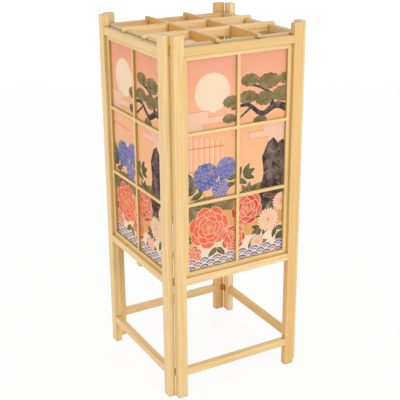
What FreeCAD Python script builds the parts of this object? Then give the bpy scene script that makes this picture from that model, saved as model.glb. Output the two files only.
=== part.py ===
import FreeCAD, Part
import os

# Andon floor lamp: a square tower of four shoji panels hinged at its corners, with a lattice lid and a lamp in it.
# The frame has +Z up and its origin on the floor under the middle of the tower.
# A panel is drawn facing -Y, and each of the four is that panel turned about Z to its own side.
# Seen from outside, a panel's left post has the outer knuckles and the pins, and its right post the middle knuckle.

DIMENSIONS = (
    # Tower
    ("axis_span", 261.0),        # between the hinge axes of neighbouring corners
    ("axis_inset", 0.2),         # from the posts' inner faces in to the hinge axis
    ("end_gap", 0.2),            # from the hinge axis to a post's end face
    # Posts
    ("post_height", 686.0),
    ("post_width", 19.8),
    ("post_depth", 13.0),
    ("post_ease", 0.4),
    # Rails of a panel
    ("rail_height", 14.0),
    ("rail_setback", 0.5),
    ("rail_ease", 0.5),
    ("top_rail_drop", 21.3),     # from the posts' tops down to the top rails
    ("bottom_rail_level", 231.3),
    ("stretcher_level", 44.4),
    ("tenon_length", 8.0),
    ("tenon_thickness", 5.0),
    ("tenon_shoulder", 2.0),
    ("tenon_clearance", 0.1),
    # Sash of a panel
    ("sash_setback", 6.0),
    ("sash_depth", 5.0),
    ("sash_width", 8.8),
    ("muntin_width", 6.0),
    ("paper_thickness", 0.5),
    ("paper_margin", 2.0),
    # Hinges
    ("hinge_length", 14.0),
    ("knuckle_radius", 1.4),
    ("knuckle_clearance", 0.3),  # to the other leaf and to both posts
    ("knuckle_play", 0.15),
    ("pin_radius", 0.6),
    ("pin_clearance", 0.1),
    ("pin_head_radius", 1.2),
    ("pin_head_height", 0.8),
    ("leaf_thickness", 0.8),
    ("leaf_width", 9.0),
    ("leaf_fit", 0.1),
    ("leaf_screw_offset", 5.4),
    ("leaf_screw_spacing", 7.5),
    # Wood screws
    ("screw_radius", 1.1),
    ("screw_head_radius", 2.1),
    ("screw_head_height", 0.9),
    ("screw_length", 9.0),
    ("screw_tip_length", 2.0),
    ("screw_tip_radius", 0.3),
    ("screw_slot_width", 0.6),
    ("screw_slot_depth", 0.4),
    ("screw_clearance", 0.1),
    # Lid
    ("tray_clearance", 0.8),
    ("tray_corner_cut", 5.0),    # past the hinge knuckles in the tower's corners
    ("slat_thickness", 9.0),
    ("slat_rise", 3.0),
    ("lattice_thickness", 5.5),
    ("lattice_depth", 17.0),
    ("lattice_rise", 9.0),
    ("lattice_offset", 41.5),
    ("lattice_overhang", 5.5),   # of a lattice bar's end on a rail
    ("lattice_end_radius", 4.0),
    # Lamp bar and its hangers
    ("hanger_length", 36.0),
    ("hanger_thickness", 2.0),
    ("hanger_setback", 3.0),
    ("hanger_nose", 5.0),
    ("hanger_screw_spacing", 25.0),
    ("hanger_screw_inset", 6.5),
    ("lamp_bar_width", 12.0),
    ("lamp_bar_depth", 8.0),
    ("lamp_bar_overrun", 9.0),
    ("swivel_clearance", 0.3),
    ("rivet_radius", 2.0),
    ("rivet_head_radius", 4.0),
    ("rivet_head_height", 1.2),
    ("rivet_flush_radius", 3.2),
    ("rivet_flush_height", 1.2),
    ("rivet_clearance", 0.1),
    # Lamp holder
    ("flange_radius", 24.0),
    ("flange_height", 4.0),
    ("flange_screw_offset", 21.0),
    ("holder_radius", 18.0),
    ("holder_height", 44.0),
    ("holder_bore_radius", 13.3),
    ("holder_bore_depth", 28.0),
    ("cord_hole_radius", 3.2),
    ("cord_hole_level", 8.0),
    ("contact_radius", 6.0),
    ("contact_height", 1.0),
    ("contact_button_radius", 3.0),
    # Bulb
    ("cap_radius", 13.0),
    ("cap_height", 22.0),
    ("cap_tip_radius", 4.5),
    ("cap_tip_height", 4.0),
    ("neck_radius", 14.0),
    ("neck_height", 8.0),
    ("bulb_radius", 30.0),
    ("bulb_drop", 42.0),         # from the bulb's widest level down to the neck's top
    ("glass_thickness", 1.0),
    # Cuts run this far past what they cut
    ("overrun", 1.0),
)

QUARTER_TURN = 90.0
SIDES = ("front_right", "rear_right", "rear_left", "front_left")
HANGER_SIDES = ("front_left", "rear_right")

doc = FreeCAD.newDocument("andon_floor_lamp")
sheet = doc.addObject("Spreadsheet::Sheet", "size")
for row, (alias, value) in enumerate(DIMENSIONS, start=1):
    sheet.set(f"A{row}", alias.replace("_", " "))
    sheet.set(f"B{row}", str(value))
    sheet.setAlias(f"B{row}", alias)
doc.recompute()

# Places that several pieces share, as expressions in the sheet's sizes
AXIS = "(size.axis_span / 2)"
POST_END = f"({AXIS} - size.end_gap)"
POST_SIDE = f"({POST_END} - size.post_width)"
INNER_FACE = f"(-{AXIS} - size.axis_inset)"
OUTER_FACE = f"({INNER_FACE} - size.post_depth)"
RAIL_FACE = f"({OUTER_FACE} + size.rail_setback)"
RAIL_BACK = f"({INNER_FACE} - size.rail_setback)"
LEAF_BACK = f"({INNER_FACE} - size.leaf_thickness)"
SASH_FACE = f"({OUTER_FACE} + size.sash_setback)"
SASH_BACK = f"({SASH_FACE} + size.sash_depth)"
RAIL_TOP = "(size.post_height - size.top_rail_drop)"
TOP_RAIL_FOOT = f"({RAIL_TOP} - size.rail_height)"
SASH_FOOT = "(size.bottom_rail_level + size.rail_height)"
SASH_HEAD = TOP_RAIL_FOOT
TRAY_HALF = f"({AXIS} + size.axis_inset - size.tray_clearance)"
TRAY_INSIDE = f"({TRAY_HALF} - size.slat_thickness)"
LATTICE_END = f"({AXIS} + size.axis_inset + size.rail_setback + size.lattice_overhang)"
LATTICE_TOP = f"({RAIL_TOP} + size.lattice_rise)"
LATTICE_FOOT = f"({LATTICE_TOP} - size.lattice_depth)"
LATTICE_LAP = f"({LATTICE_TOP} - size.lattice_depth / 2)"
HANGER_TOP = "size.bottom_rail_level"
HANGER_FOOT = f"({HANGER_TOP} - size.hanger_thickness)"
LAMP_BAR_TOP = f"({HANGER_FOOT} - size.swivel_clearance)"
LAMP_BAR_FOOT = f"({LAMP_BAR_TOP} - size.lamp_bar_depth)"
FLANGE_TOP = f"({LAMP_BAR_TOP} + size.flange_height)"
HOLDER_TOP = f"({LAMP_BAR_TOP} + size.holder_height)"
HOLDER_FLOOR = f"({HOLDER_TOP} - size.holder_bore_depth)"
CONTACT_TOP = f"({HOLDER_FLOOR} + 2 * size.contact_height)"
CAP_FOOT = f"({CONTACT_TOP} + size.cap_tip_height)"
CAP_TOP = f"({CAP_FOOT} + size.cap_height)"
NECK_TOP = f"({CAP_TOP} + size.neck_height)"
BULB_MIDDLE = f"({NECK_TOP} + size.bulb_drop)"
# Below the bulb's widest level, the angle at which its shoulder leaves the ball as a tangent to the neck
SHOULDER_ANGLE = (
    "(atan(size.bulb_drop / size.neck_radius)"
    " - acos(size.bulb_radius / sqrt(size.bulb_drop ^ 2 + size.neck_radius ^ 2)))"
)

LEVELS = {"top_rail": TOP_RAIL_FOOT, "bottom_rail": "size.bottom_rail_level", "stretcher": "size.stretcher_level"}
LEFT, RIGHT = "left", "right"
UPRIGHT = FreeCAD.Rotation()
DOWNWARD = FreeCAD.Rotation(FreeCAD.Vector(1, 0, 0), 180)
TOWARDS_FRONT = FreeCAD.Rotation(FreeCAD.Vector(1, 0, 0), 90)


def on_side(side, low, high):
    """The stretch of X from low to high, or its mirror image on the left."""
    return (low, high) if side == RIGHT else (f"-({high})", f"-({low})")


def around(middle, width):
    """The stretch of this width about a middle."""
    return f"{middle} - {width} / 2", f"{middle} + {width} / 2"


def new_body(name):
    return doc.addObject("PartDesign::Body", name)


def bind_place(thing, place, rotation=UPRIGHT):
    """Turns a feature or body and binds its base point to three expressions."""
    thing.Placement = FreeCAD.Placement(FreeCAD.Vector(), rotation)
    for axis, text in zip("xyz", place):
        thing.setExpression(f"Placement.Base.{axis}", text)


def box(body, kind, x, y, z):
    """An additive or subtractive box between low and high expressions on each axis."""
    feature = body.newObject(f"PartDesign::{kind}Box", "box")
    for side, (low, high) in zip(("Length", "Width", "Height"), (x, y, z)):
        feature.setExpression(side, f"({high}) - ({low})")
    bind_place(feature, (x[0], y[0], z[0]))
    return feature


def cylinder(body, kind, radius, height, place, rotation=UPRIGHT):
    feature = body.newObject(f"PartDesign::{kind}Cylinder", "cylinder")
    feature.setExpression("Radius", radius)
    feature.setExpression("Height", height)
    bind_place(feature, place, rotation)
    return feature


def cone(body, kind, radii, height, place, rotation=UPRIGHT):
    """A cone from the first radius at its place to the second at its height."""
    feature = body.newObject(f"PartDesign::{kind}Cone", "cone")
    feature.setExpression("Radius1", radii[0])
    feature.setExpression("Radius2", radii[1])
    feature.setExpression("Height", height)
    bind_place(feature, place, rotation)
    return feature


def ease(body, base, amount, kind="Chamfer", chosen=None):
    """A chamfer or fillet on a feature's edges: all of them, or those that a test picks."""
    doc.recompute()
    edges = enumerate(base.Shape.Edges, start=1)
    names = [f"Edge{number}" for number, edge in edges if chosen is None or chosen(edge)]
    feature = body.newObject(f"PartDesign::{kind}", "eased")
    feature.Base = (base, names)
    feature.setExpression("Size" if kind == "Chamfer" else "Radius", amount)
    doc.recompute()
    return feature


def runs_along(axis):
    """A test for straight edges along one axis: 0 for X, 1 for Y, 2 for Z."""

    def test(edge):
        first, last = (vertex.Point for vertex in edge.Vertexes)
        return abs(abs(last[axis] - first[axis]) - edge.Length) < edge.Length / 1e6

    return test


def node(name, pieces, turns=0):
    """A named sub-part: its pieces together, turned about Z by a number of quarter turns."""
    group = doc.addObject("Part::Compound", name)
    group.Label = name
    group.Links = pieces
    group.Placement = FreeCAD.Placement(
        FreeCAD.Vector(), FreeCAD.Rotation(FreeCAD.Vector(0, 0, 1), turns * QUARTER_TURN)
    )
    return group


# Wood screw


def wood_screw(name, place, rotation):
    """A slotted countersunk screw that points along its own +Z from the flat of its head."""
    body = new_body(name)
    cone(body, "Additive", ("size.screw_head_radius", "size.screw_radius"), "size.screw_head_height", ("0", "0", "0"))
    shank = "size.screw_length - size.screw_tip_length - size.screw_head_height"
    cylinder(body, "Additive", "size.screw_radius", shank, ("0", "0", "size.screw_head_height"))
    tip_start = ("0", "0", "size.screw_length - size.screw_tip_length")
    cone(body, "Additive", ("size.screw_radius", "size.screw_tip_radius"), "size.screw_tip_length", tip_start)
    slot_width = around("0", "size.screw_slot_width")
    slot_length = around("0", "3 * size.screw_head_radius")
    box(body, "Subtractive", slot_width, slot_length, ("-size.overrun", "size.screw_slot_depth"))
    bind_place(body, place, rotation)
    return body


def screw_hole(body, place, rotation, countersunk):
    """The hole that a wood screw fills, with the seat of its head where the piece holds it."""
    cylinder(body, "Subtractive", "size.screw_radius + size.screw_clearance", "size.screw_length", place, rotation)
    if countersunk:
        radii = ("size.screw_head_radius + size.screw_clearance", "size.screw_radius + size.screw_clearance")
        cone(body, "Subtractive", radii, "size.screw_head_height", place, rotation)


# Places of the hinges and their screws on a panel


def hinge_middle(level):
    return f"({LEVELS[level]} + size.rail_height / 2)"


def hinge_screw_places(side, levels=LEVELS):
    """Where the flat of each leaf screw's head lies on one post, at all three hinges or some."""
    inset = f"({AXIS} - size.leaf_screw_offset)"
    x = inset if side == RIGHT else f"-{inset}"
    return [
        (x, INNER_FACE, f"{hinge_middle(level)} {sign} size.leaf_screw_spacing / 2")
        for level in levels
        for sign in ("+", "-")
    ]


def hanger_screw_places():
    y = f"{INNER_FACE} - size.hanger_screw_inset"
    return [(f"{sign}size.hanger_screw_spacing / 2", y, HANGER_FOOT) for sign in ("-", "")]


# Panel: posts, rails, sash and paper


def make_post(side):
    """A post with its mortises for the three rails, and the seats of its hinge leaves, knuckles and screws."""
    body = new_body("post_left" if side == LEFT else "post_right")
    stock = box(
        body,
        "Additive",
        on_side(side, POST_SIDE, POST_END),
        (OUTER_FACE, INNER_FACE),
        ("0", "size.post_height"),
    )
    ease(body, stock, "size.post_ease")
    mortise_x = on_side(side, f"{POST_SIDE} - size.overrun", f"{POST_SIDE} + size.tenon_length + size.tenon_clearance")
    gain_x = on_side(side, f"{AXIS} - size.leaf_width - size.leaf_fit", f"{POST_END} + size.overrun")
    axis_x = AXIS if side == RIGHT else f"-{AXIS}"
    hollow = "size.knuckle_radius + size.knuckle_clearance"
    for level in LEVELS:
        y, z = tenon_section(level, "size.tenon_clearance")
        box(body, "Subtractive", mortise_x, y, z)
        gain_z = around(hinge_middle(level), "(size.hinge_length + 2 * size.leaf_fit)")
        box(body, "Subtractive", gain_x, (LEAF_BACK, f"{INNER_FACE} + size.overrun"), gain_z)
        height = "size.hinge_length + size.pin_head_height + 2 * size.leaf_fit"
        cylinder(body, "Subtractive", hollow, height, (axis_x, f"-{AXIS}", gain_z[0]))
    for place in hinge_screw_places(side):
        screw_hole(body, place, TOWARDS_FRONT, countersunk=False)
    return body


def tenon_section(level, clearance):
    """The stretches of Y and Z that a tenon fills, or its mortise with a clearance all round."""
    middle = f"({OUTER_FACE} + {INNER_FACE}) / 2"
    y = around(middle, f"(size.tenon_thickness + 2 * {clearance})")
    low = f"{LEVELS[level]} + size.tenon_shoulder - {clearance}"
    high = f"{LEVELS[level]} + size.rail_height - size.tenon_shoulder + {clearance}"
    return y, (low, high)


def make_rail(level):
    """A rail between the posts, with a tenon at each end."""
    body = new_body(level + "_stock")
    z = (LEVELS[level], f"{LEVELS[level]} + size.rail_height")
    stock = box(body, "Additive", (f"-{POST_SIDE}", POST_SIDE), (RAIL_FACE, RAIL_BACK), z)
    ease(body, stock, "size.rail_ease", chosen=runs_along(0))
    tenon_y, tenon_z = tenon_section(level, "0 * size.tenon_clearance")
    tip = f"{POST_SIDE} + size.tenon_length"
    box(body, "Additive", (f"-({tip})", tip), tenon_y, tenon_z)
    if level == "bottom_rail":
        for place in hanger_screw_places():
            screw_hole(body, place, UPRIGHT, countersunk=False)
    return body


def make_sash_frame():
    """Two stiles over the sash's height and two rails between them."""
    pieces = []
    for side in (LEFT, RIGHT):
        body = new_body("sash_stile")
        x = on_side(side, f"{POST_SIDE} - size.sash_width", POST_SIDE)
        box(body, "Additive", x, (SASH_FACE, SASH_BACK), (SASH_FOOT, SASH_HEAD))
        pieces.append(body)
    half = f"({POST_SIDE} - size.sash_width)"
    for z in (
        (SASH_FOOT, f"{SASH_FOOT} + size.sash_width"),
        (f"{SASH_HEAD} - size.sash_width", SASH_HEAD),
    ):
        body = new_body("sash_rail")
        box(body, "Additive", (f"-{half}", half), (SASH_FACE, SASH_BACK), z)
        pieces.append(body)
    return pieces


def make_muntins():
    """One upright and two level muntins that share the sash's depth where they cross."""
    half = f"({POST_SIDE} - size.sash_width)"
    foot = f"({SASH_FOOT} + size.sash_width)"
    head = f"({SASH_HEAD} - size.sash_width)"
    lap = f"{SASH_FACE} + size.sash_depth / 2"
    upright = new_body("muntin_upright")
    width = around("0", "size.muntin_width")
    box(upright, "Additive", width, (SASH_FACE, SASH_BACK), (foot, head))
    pieces = [upright]
    for share in ("1 / 3", "2 / 3"):
        middle = f"({foot} + ({head} - {foot}) * {share})"
        z = around(middle, "size.muntin_width")
        box(upright, "Subtractive", around("0", "2 * size.muntin_width"), (lap, f"{SASH_BACK} + size.overrun"), z)
        level = new_body("muntin_level")
        box(level, "Additive", (f"-{half}", half), (SASH_FACE, SASH_BACK), z)
        notch_z = around(middle, "2 * size.muntin_width")
        box(level, "Subtractive", width, (f"{SASH_FACE} - size.overrun", lap), notch_z)
        pieces.append(level)
    return pieces


def make_paper():
    """The paper pasted on the back of the sash."""
    body = new_body("paper_sheet")
    half = f"({POST_SIDE} - size.paper_margin)"
    z = (f"{SASH_FOOT} + size.paper_margin", f"{SASH_HEAD} - size.paper_margin")
    box(body, "Additive", (f"-{half}", half), (SASH_BACK, f"{SASH_BACK} + size.paper_thickness"), z)
    return body


# Hinges


def make_leaf(side, level):
    """A hinge leaf let into a post's inner face: outer knuckles on a left post, the middle one on a right post."""
    body = new_body("leaf_left" if side == LEFT else "leaf_right")
    foot = f"({hinge_middle(level)} - size.hinge_length / 2)"
    plate_y = (LEAF_BACK, INNER_FACE)
    near_edge = f"({AXIS} - size.knuckle_radius - size.knuckle_clearance)"
    plate_x = on_side(side, f"{AXIS} - size.leaf_width", near_edge)
    box(body, "Additive", plate_x, plate_y, (foot, f"{foot} + size.hinge_length"))
    axis_x = AXIS if side == RIGHT else f"-{AXIS}"
    for third in (1,) if side == RIGHT else (0, 2):
        low = f"({foot} + {third} * size.hinge_length / 3 + size.knuckle_play)"
        high = f"({foot} + {third + 1} * size.hinge_length / 3 - size.knuckle_play)"
        box(body, "Additive", on_side(side, near_edge, AXIS), plate_y, (low, high))
        cylinder(body, "Additive", "size.knuckle_radius", f"{high} - {low}", (axis_x, f"-{AXIS}", low))
    bore = "size.pin_radius + size.pin_clearance"
    start = (axis_x, f"-{AXIS}", f"{foot} - size.overrun")
    cylinder(body, "Subtractive", bore, "size.hinge_length + 2 * size.overrun", start)
    for place in hinge_screw_places(side, [level]):
        screw_hole(body, place, TOWARDS_FRONT, countersunk=True)
    return body


def make_pin(level):
    """A hinge pin through the knuckles, with a head above them."""
    body = new_body("pin")
    foot = f"({hinge_middle(level)} - size.hinge_length / 2)"
    cylinder(body, "Additive", "size.pin_radius", "size.hinge_length", (f"-{AXIS}", f"-{AXIS}", foot))
    head = (f"-{AXIS}", f"-{AXIS}", f"{foot} + size.hinge_length - size.knuckle_play")
    cylinder(body, "Additive", "size.pin_head_radius", "size.pin_head_height", head)
    return body


def make_hanger():
    """A plate under the bottom rail whose nose holds the lamp bar's rivet on the line between the hinge axes."""
    body = new_body("hanger")
    y = (f"{OUTER_FACE} + size.hanger_setback", f"-{AXIS} + size.hanger_nose")
    box(body, "Additive", around("0", "size.hanger_length"), y, (HANGER_FOOT, HANGER_TOP))
    hole = "size.rivet_radius + size.rivet_clearance"
    below = ("0", f"-{AXIS}", f"{HANGER_FOOT} - size.overrun")
    cylinder(body, "Subtractive", hole, "size.hanger_thickness + 2 * size.overrun", below)
    radii = (hole, "size.rivet_flush_radius + size.rivet_clearance")
    seat = ("0", f"-{AXIS}", f"{HANGER_TOP} - size.rivet_flush_height")
    cone(body, "Subtractive", radii, "size.rivet_flush_height", seat)
    for place in hanger_screw_places():
        screw_hole(body, place, UPRIGHT, countersunk=True)
    return body


# Lid


def make_slats():
    """Four like slats, each butting against the next, notched for the lattice bars."""
    body = new_body("slat")
    y = (f"-{TRAY_HALF}", f"-{TRAY_INSIDE}")
    z = (LATTICE_FOOT, f"{RAIL_TOP} + size.slat_rise")
    stock = box(body, "Additive", (f"-{TRAY_HALF}", TRAY_INSIDE), y, z)
    doc.recompute()
    low = stock.Shape.BoundBox

    def at_corner(edge):
        middle = edge.CenterOfMass
        return runs_along(2)(edge) and middle.x + middle.y < low.XMin + low.YMin + low.YLength / 2

    ease(body, stock, "size.tray_corner_cut", chosen=at_corner)
    notch_y = (f"{y[0]} - size.overrun", f"{y[1]} + size.overrun")
    notch_z = (RAIL_TOP, f"{RAIL_TOP} + size.slat_rise + size.overrun")
    for sign in ("-", ""):
        box(body, "Subtractive", around(f"{sign}size.lattice_offset", "size.lattice_thickness"), notch_y, notch_z)
    return [node(f"slat_turned_{turns}", [body], turns) for turns in range(4)]


def make_lattice_bars(name, lap_z, turns):
    """Two bars on edge: deep between the slats, with rounded ends that pass over them and lie on the rails."""
    bars = []
    for sign in ("-", ""):
        body = new_body("lattice_bar")
        y = around(f"{sign}size.lattice_offset", "size.lattice_thickness")
        over = box(body, "Additive", (f"-{LATTICE_END}", LATTICE_END), y, (RAIL_TOP, LATTICE_TOP))
        doc.recompute()
        end = max(vertex.X for vertex in over.Shape.Vertexes)

        def at_end(edge, end=end):
            return runs_along(1)(edge) and abs(abs(edge.CenterOfMass.x) - end) < edge.Length / 1e6

        ease(body, over, "size.lattice_end_radius", kind="Fillet", chosen=at_end)
        box(body, "Additive", (f"-{TRAY_INSIDE}", TRAY_INSIDE), y, (LATTICE_FOOT, LATTICE_TOP))
        for other in ("-", ""):
            lap_x = around(f"{other}size.lattice_offset", "size.lattice_thickness")
            wide_y = (f"{y[0]} - size.overrun", f"{y[1]} + size.overrun")
            box(body, "Subtractive", lap_x, wide_y, lap_z)
        bars.append(body)
    return node(name, bars, turns)


# Lamp


def make_lamp_bar():
    """The bar that carries the lamp holder from one hanger to the other."""
    body = new_body("lamp_bar_stock")
    half = f"({AXIS} + size.lamp_bar_overrun)"
    z = (LAMP_BAR_FOOT, LAMP_BAR_TOP)
    stock = box(body, "Additive", (f"-{half}", half), around("0", "size.lamp_bar_width"), z)
    ease(body, stock, "size.post_ease")
    for sign in ("-", ""):
        foot = (f"{sign}{AXIS}", "0", f"{LAMP_BAR_FOOT} - size.overrun")
        hole = "size.rivet_radius + size.screw_clearance"
        cylinder(body, "Subtractive", hole, "size.lamp_bar_depth + 2 * size.overrun", foot)
    for place in holder_screw_places():
        screw_hole(body, place, DOWNWARD, countersunk=False)
    return body


def make_rivet(sign):
    """A pivot rivet: its head under the bar and its flush end in the hanger's seat."""
    body = new_body("rivet")
    x = f"{sign}{AXIS}"
    head_foot = f"{LAMP_BAR_FOOT} - size.rivet_head_height"
    cylinder(body, "Additive", "size.rivet_head_radius", "size.rivet_head_height", (x, "0", head_foot))
    cylinder(body, "Additive", "size.rivet_radius", f"{HANGER_TOP} - {LAMP_BAR_FOOT}", (x, "0", LAMP_BAR_FOOT))
    flush = (x, "0", f"{HANGER_TOP} - size.rivet_flush_height")
    radii = ("size.rivet_radius", "size.rivet_flush_radius")
    cone(body, "Additive", radii, "size.rivet_flush_height", flush)
    return body


def holder_screw_places():
    return [(f"{sign}size.flange_screw_offset", "0", FLANGE_TOP) for sign in ("-", "")]


def make_holder():
    """The lamp holder: a flange on the bar, a barrel with the bulb's bore and a hole for the cord."""
    body = new_body("holder")
    foot = ("0", "0", LAMP_BAR_TOP)
    cylinder(body, "Additive", "size.flange_radius", "size.flange_height", foot)
    cylinder(body, "Additive", "size.holder_radius", "size.holder_height", foot)
    cylinder(
        body,
        "Subtractive",
        "size.holder_bore_radius",
        "size.holder_bore_depth + size.overrun",
        ("0", "0", HOLDER_FLOOR),
    )
    cord_start = ("0", "0", f"{LAMP_BAR_TOP} + size.cord_hole_level")
    length = "size.holder_radius + size.overrun"
    cylinder(body, "Subtractive", "size.cord_hole_radius", length, cord_start, TOWARDS_FRONT)
    for place in holder_screw_places():
        screw_hole(body, place, DOWNWARD, countersunk=True)
    return body


def make_contact():
    body = new_body("contact")
    cylinder(body, "Additive", "size.contact_radius", "size.contact_height", ("0", "0", HOLDER_FLOOR))
    button = ("0", "0", f"{HOLDER_FLOOR} + size.contact_height")
    cylinder(body, "Additive", "size.contact_button_radius", "size.contact_height", button)
    return body


def make_cap():
    """The bulb's cap: a tip that meets the contact and a screw barrel."""
    body = new_body("cap")
    radii = ("size.cap_tip_radius", "size.cap_radius")
    cone(body, "Additive", radii, "size.cap_tip_height", ("0", "0", CONTACT_TOP))
    cylinder(body, "Additive", "size.cap_radius", "size.cap_height", ("0", "0", CAP_FOOT))
    return body


def make_glass():
    """The bulb's hollow glass: a neck, a shoulder tangent to the ball, and the ball."""
    body = new_body("glass")
    rise = f"size.bulb_drop - size.bulb_radius * sin({SHOULDER_ANGLE})"
    for kind, less in (("Additive", "0 * size.glass_thickness"), ("Subtractive", "size.glass_thickness")):
        neck = f"size.neck_radius - {less}"
        shoulder = f"size.bulb_radius * cos({SHOULDER_ANGLE}) - {less}"
        cylinder(body, kind, neck, "size.neck_height", ("0", "0", CAP_TOP))
        cone(body, kind, (neck, shoulder), rise, ("0", "0", NECK_TOP))
        ball = body.newObject(f"PartDesign::{kind}Sphere", "ball")
        ball.setExpression("Radius", f"size.bulb_radius - {less}")
        bind_place(ball, ("0", "0", BULB_MIDDLE))
    return body


# Assembly: each master piece is made once, and the four panels are turned copies of it

posts = {side: make_post(side) for side in (LEFT, RIGHT)}
rails = {level: make_rail(level) for level in LEVELS}
sash_frame = make_sash_frame()
muntins = make_muntins()
paper = make_paper()
leaves = {side: [make_leaf(side, level) for level in LEVELS] for side in (LEFT, RIGHT)}
pins = [make_pin(level) for level in LEVELS]
hinge_screws = [
    wood_screw("hinge_screw", place, TOWARDS_FRONT) for side in (LEFT, RIGHT) for place in hinge_screw_places(side)
]
hanger = make_hanger()
hanger_screws = [wood_screw("hanger_screw", place, UPRIGHT) for place in hanger_screw_places()]

nodes = []
for turns, side_name in enumerate(SIDES):
    nodes.append(node(f"{side_name}_left_post", [posts[LEFT]], turns))
    nodes.append(node(f"{side_name}_right_post", [posts[RIGHT]], turns))
    for level in LEVELS:
        nodes.append(node(f"{side_name}_{level}", [rails[level]], turns))
    nodes.append(node(f"{side_name}_sash_frame", sash_frame, turns))
    nodes.append(node(f"{side_name}_muntins", muntins, turns))
    nodes.append(node(f"{side_name}_paper", [paper], turns))
    nodes.append(node(f"{side_name}_left_leaves", leaves[LEFT], turns))
    nodes.append(node(f"{side_name}_right_leaves", leaves[RIGHT], turns))
    nodes.append(node(f"{side_name}_hinge_pins", pins, turns))
    screws = hinge_screws
    if side_name in HANGER_SIDES:
        nodes.append(node(f"{side_name}_hanger", [hanger], turns))
        screws = hinge_screws + hanger_screws
    nodes.append(node(f"{side_name}_wood_screws", screws, turns))

upper_half = (LATTICE_LAP, f"{LATTICE_TOP} + size.overrun")
lower_half = (f"{LATTICE_FOOT} - size.overrun", LATTICE_LAP)
nodes.append(node("lid_slats", make_slats()))
nodes.append(make_lattice_bars("lid_lower_bars", upper_half, 0))
nodes.append(make_lattice_bars("lid_upper_bars", lower_half, 1))

nodes.append(node("lamp_bar", [make_lamp_bar()]))
nodes.append(node("lamp_bar_rivets", [make_rivet("-"), make_rivet("")]))
nodes.append(node("lamp_holder", [make_holder()]))
nodes.append(node("holder_contact", [make_contact()]))
holder_screws = [wood_screw("holder_screw", place, DOWNWARD) for place in holder_screw_places()]
nodes.append(node("holder_screws", holder_screws))
nodes.append(node("bulb_cap", [make_cap()]))
nodes.append(node("bulb_glass", [make_glass()]))

# Build, test and write
doc.recompute()
for thing in doc.Objects:
    if "Invalid" in thing.State or "Error" in thing.State:
        raise RuntimeError(f"{thing.Name} did not build: {thing.State}")
for sub_part in nodes:
    if sub_part.Shape.isNull() or not sub_part.Shape.isValid() or not sub_part.Shape.Solids:
        raise RuntimeError(f"{sub_part.Label} has no valid solid")

os.makedirs("parts", exist_ok=True)
for sub_part in nodes:
    sub_part.Shape.exportStep(f"parts/{sub_part.Label}.step")
print(f"wrote {len(nodes)} sub-parts with {sum(len(sub_part.Shape.Solids) for sub_part in nodes)} solids")
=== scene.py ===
import math
import random

import bmesh
import bpy
from mathutils import Matrix, Vector
from mathutils.geometry import delaunay_2d_cdt


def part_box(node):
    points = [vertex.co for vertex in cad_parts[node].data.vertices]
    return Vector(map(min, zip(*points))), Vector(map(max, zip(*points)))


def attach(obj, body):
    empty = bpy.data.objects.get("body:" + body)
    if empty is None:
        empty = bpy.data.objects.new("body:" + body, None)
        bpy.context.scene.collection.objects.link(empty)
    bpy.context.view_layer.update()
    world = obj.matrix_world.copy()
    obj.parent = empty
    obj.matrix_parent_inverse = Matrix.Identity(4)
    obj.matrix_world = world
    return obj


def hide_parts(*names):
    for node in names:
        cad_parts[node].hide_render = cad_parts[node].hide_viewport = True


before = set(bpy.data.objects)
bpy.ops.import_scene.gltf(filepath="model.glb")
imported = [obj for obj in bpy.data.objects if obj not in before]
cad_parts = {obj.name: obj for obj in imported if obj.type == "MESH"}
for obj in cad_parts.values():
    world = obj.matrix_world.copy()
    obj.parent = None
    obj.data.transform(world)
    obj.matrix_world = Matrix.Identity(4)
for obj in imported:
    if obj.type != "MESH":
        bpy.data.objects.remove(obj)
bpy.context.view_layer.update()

# The looks of a shoji floor lantern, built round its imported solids. Sizes are in millimetres, times MM, but the
# studio's are in metres.
MM = 0.001
PANELS = {"front_right": 0, "rear_right": 90, "rear_left": 180, "front_left": 270}  # with their turns in degrees


# Camera, as the photograph was taken


def place_camera(azimuth, elevation, roll, distance, aim, lens, shift):
    turn, rise = math.radians(azimuth), math.radians(elevation)
    back = Vector((math.sin(turn) * math.cos(rise), -math.cos(turn) * math.cos(rise), math.sin(rise)))
    right = Vector((math.cos(turn), math.sin(turn), 0))
    up = back.cross(right)
    lean = math.radians(roll)
    level_right = right * math.cos(lean) + up * math.sin(lean)
    level_up = up * math.cos(lean) - right * math.sin(lean)
    data = bpy.data.cameras.new("studio_camera")
    data.lens = lens
    data.shift_x, data.shift_y = shift
    camera = bpy.data.objects.new("studio_camera", data)
    bpy.context.scene.collection.objects.link(camera)
    camera.matrix_world = Matrix.Translation(aim + back * distance) @ Matrix(
        (level_right, level_up, back)
    ).transposed().to_4x4()
    bpy.context.scene.camera = camera


place_camera(
    azimuth=-29.31, elevation=20.56, roll=-0.35, distance=1738.7 * MM,
    aim=Vector((0, 0, 343 * MM)), lens=80.03, shift=(-0.0018, -0.0159),
)


# Materials

# Socket numbers of a Mix node, whose names repeat for each kind of data
FACTOR, VECTOR_A, VECTOR_B, COLOUR_A, COLOUR_B = 0, 4, 5, 6, 7
VECTOR_OUT, COLOUR_OUT = 1, 2
# Ranges are given as from low, from high, to low and to high, or as the first of these.
NOISE_RANGE = (0.3, 0.7)  # where most of a noise lies


def srgb(code):
    """A hex colour as the linear values that sockets take."""
    parts = [int(code[i : i + 2], 16) / 255 for i in (1, 3, 5)]
    return (*(c / 12.92 if c <= 0.04045 else ((c + 0.055) / 1.055) ** 2.4 for c in parts), 1.0)


def add(tree, kind, settings=None, inputs=()):
    """Adds a node with its settings, and gives its inputs, by name or in order, values or links."""
    made = tree.nodes.new(kind)
    for key, value in (settings or {}).items():
        setattr(made, key, value)
    for key, value in inputs.items() if isinstance(inputs, dict) else enumerate(inputs):
        if isinstance(value, bpy.types.NodeSocket):
            tree.links.new(value, made.inputs[key])
        else:
            made.inputs[key].default_value = value
    return made


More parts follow.
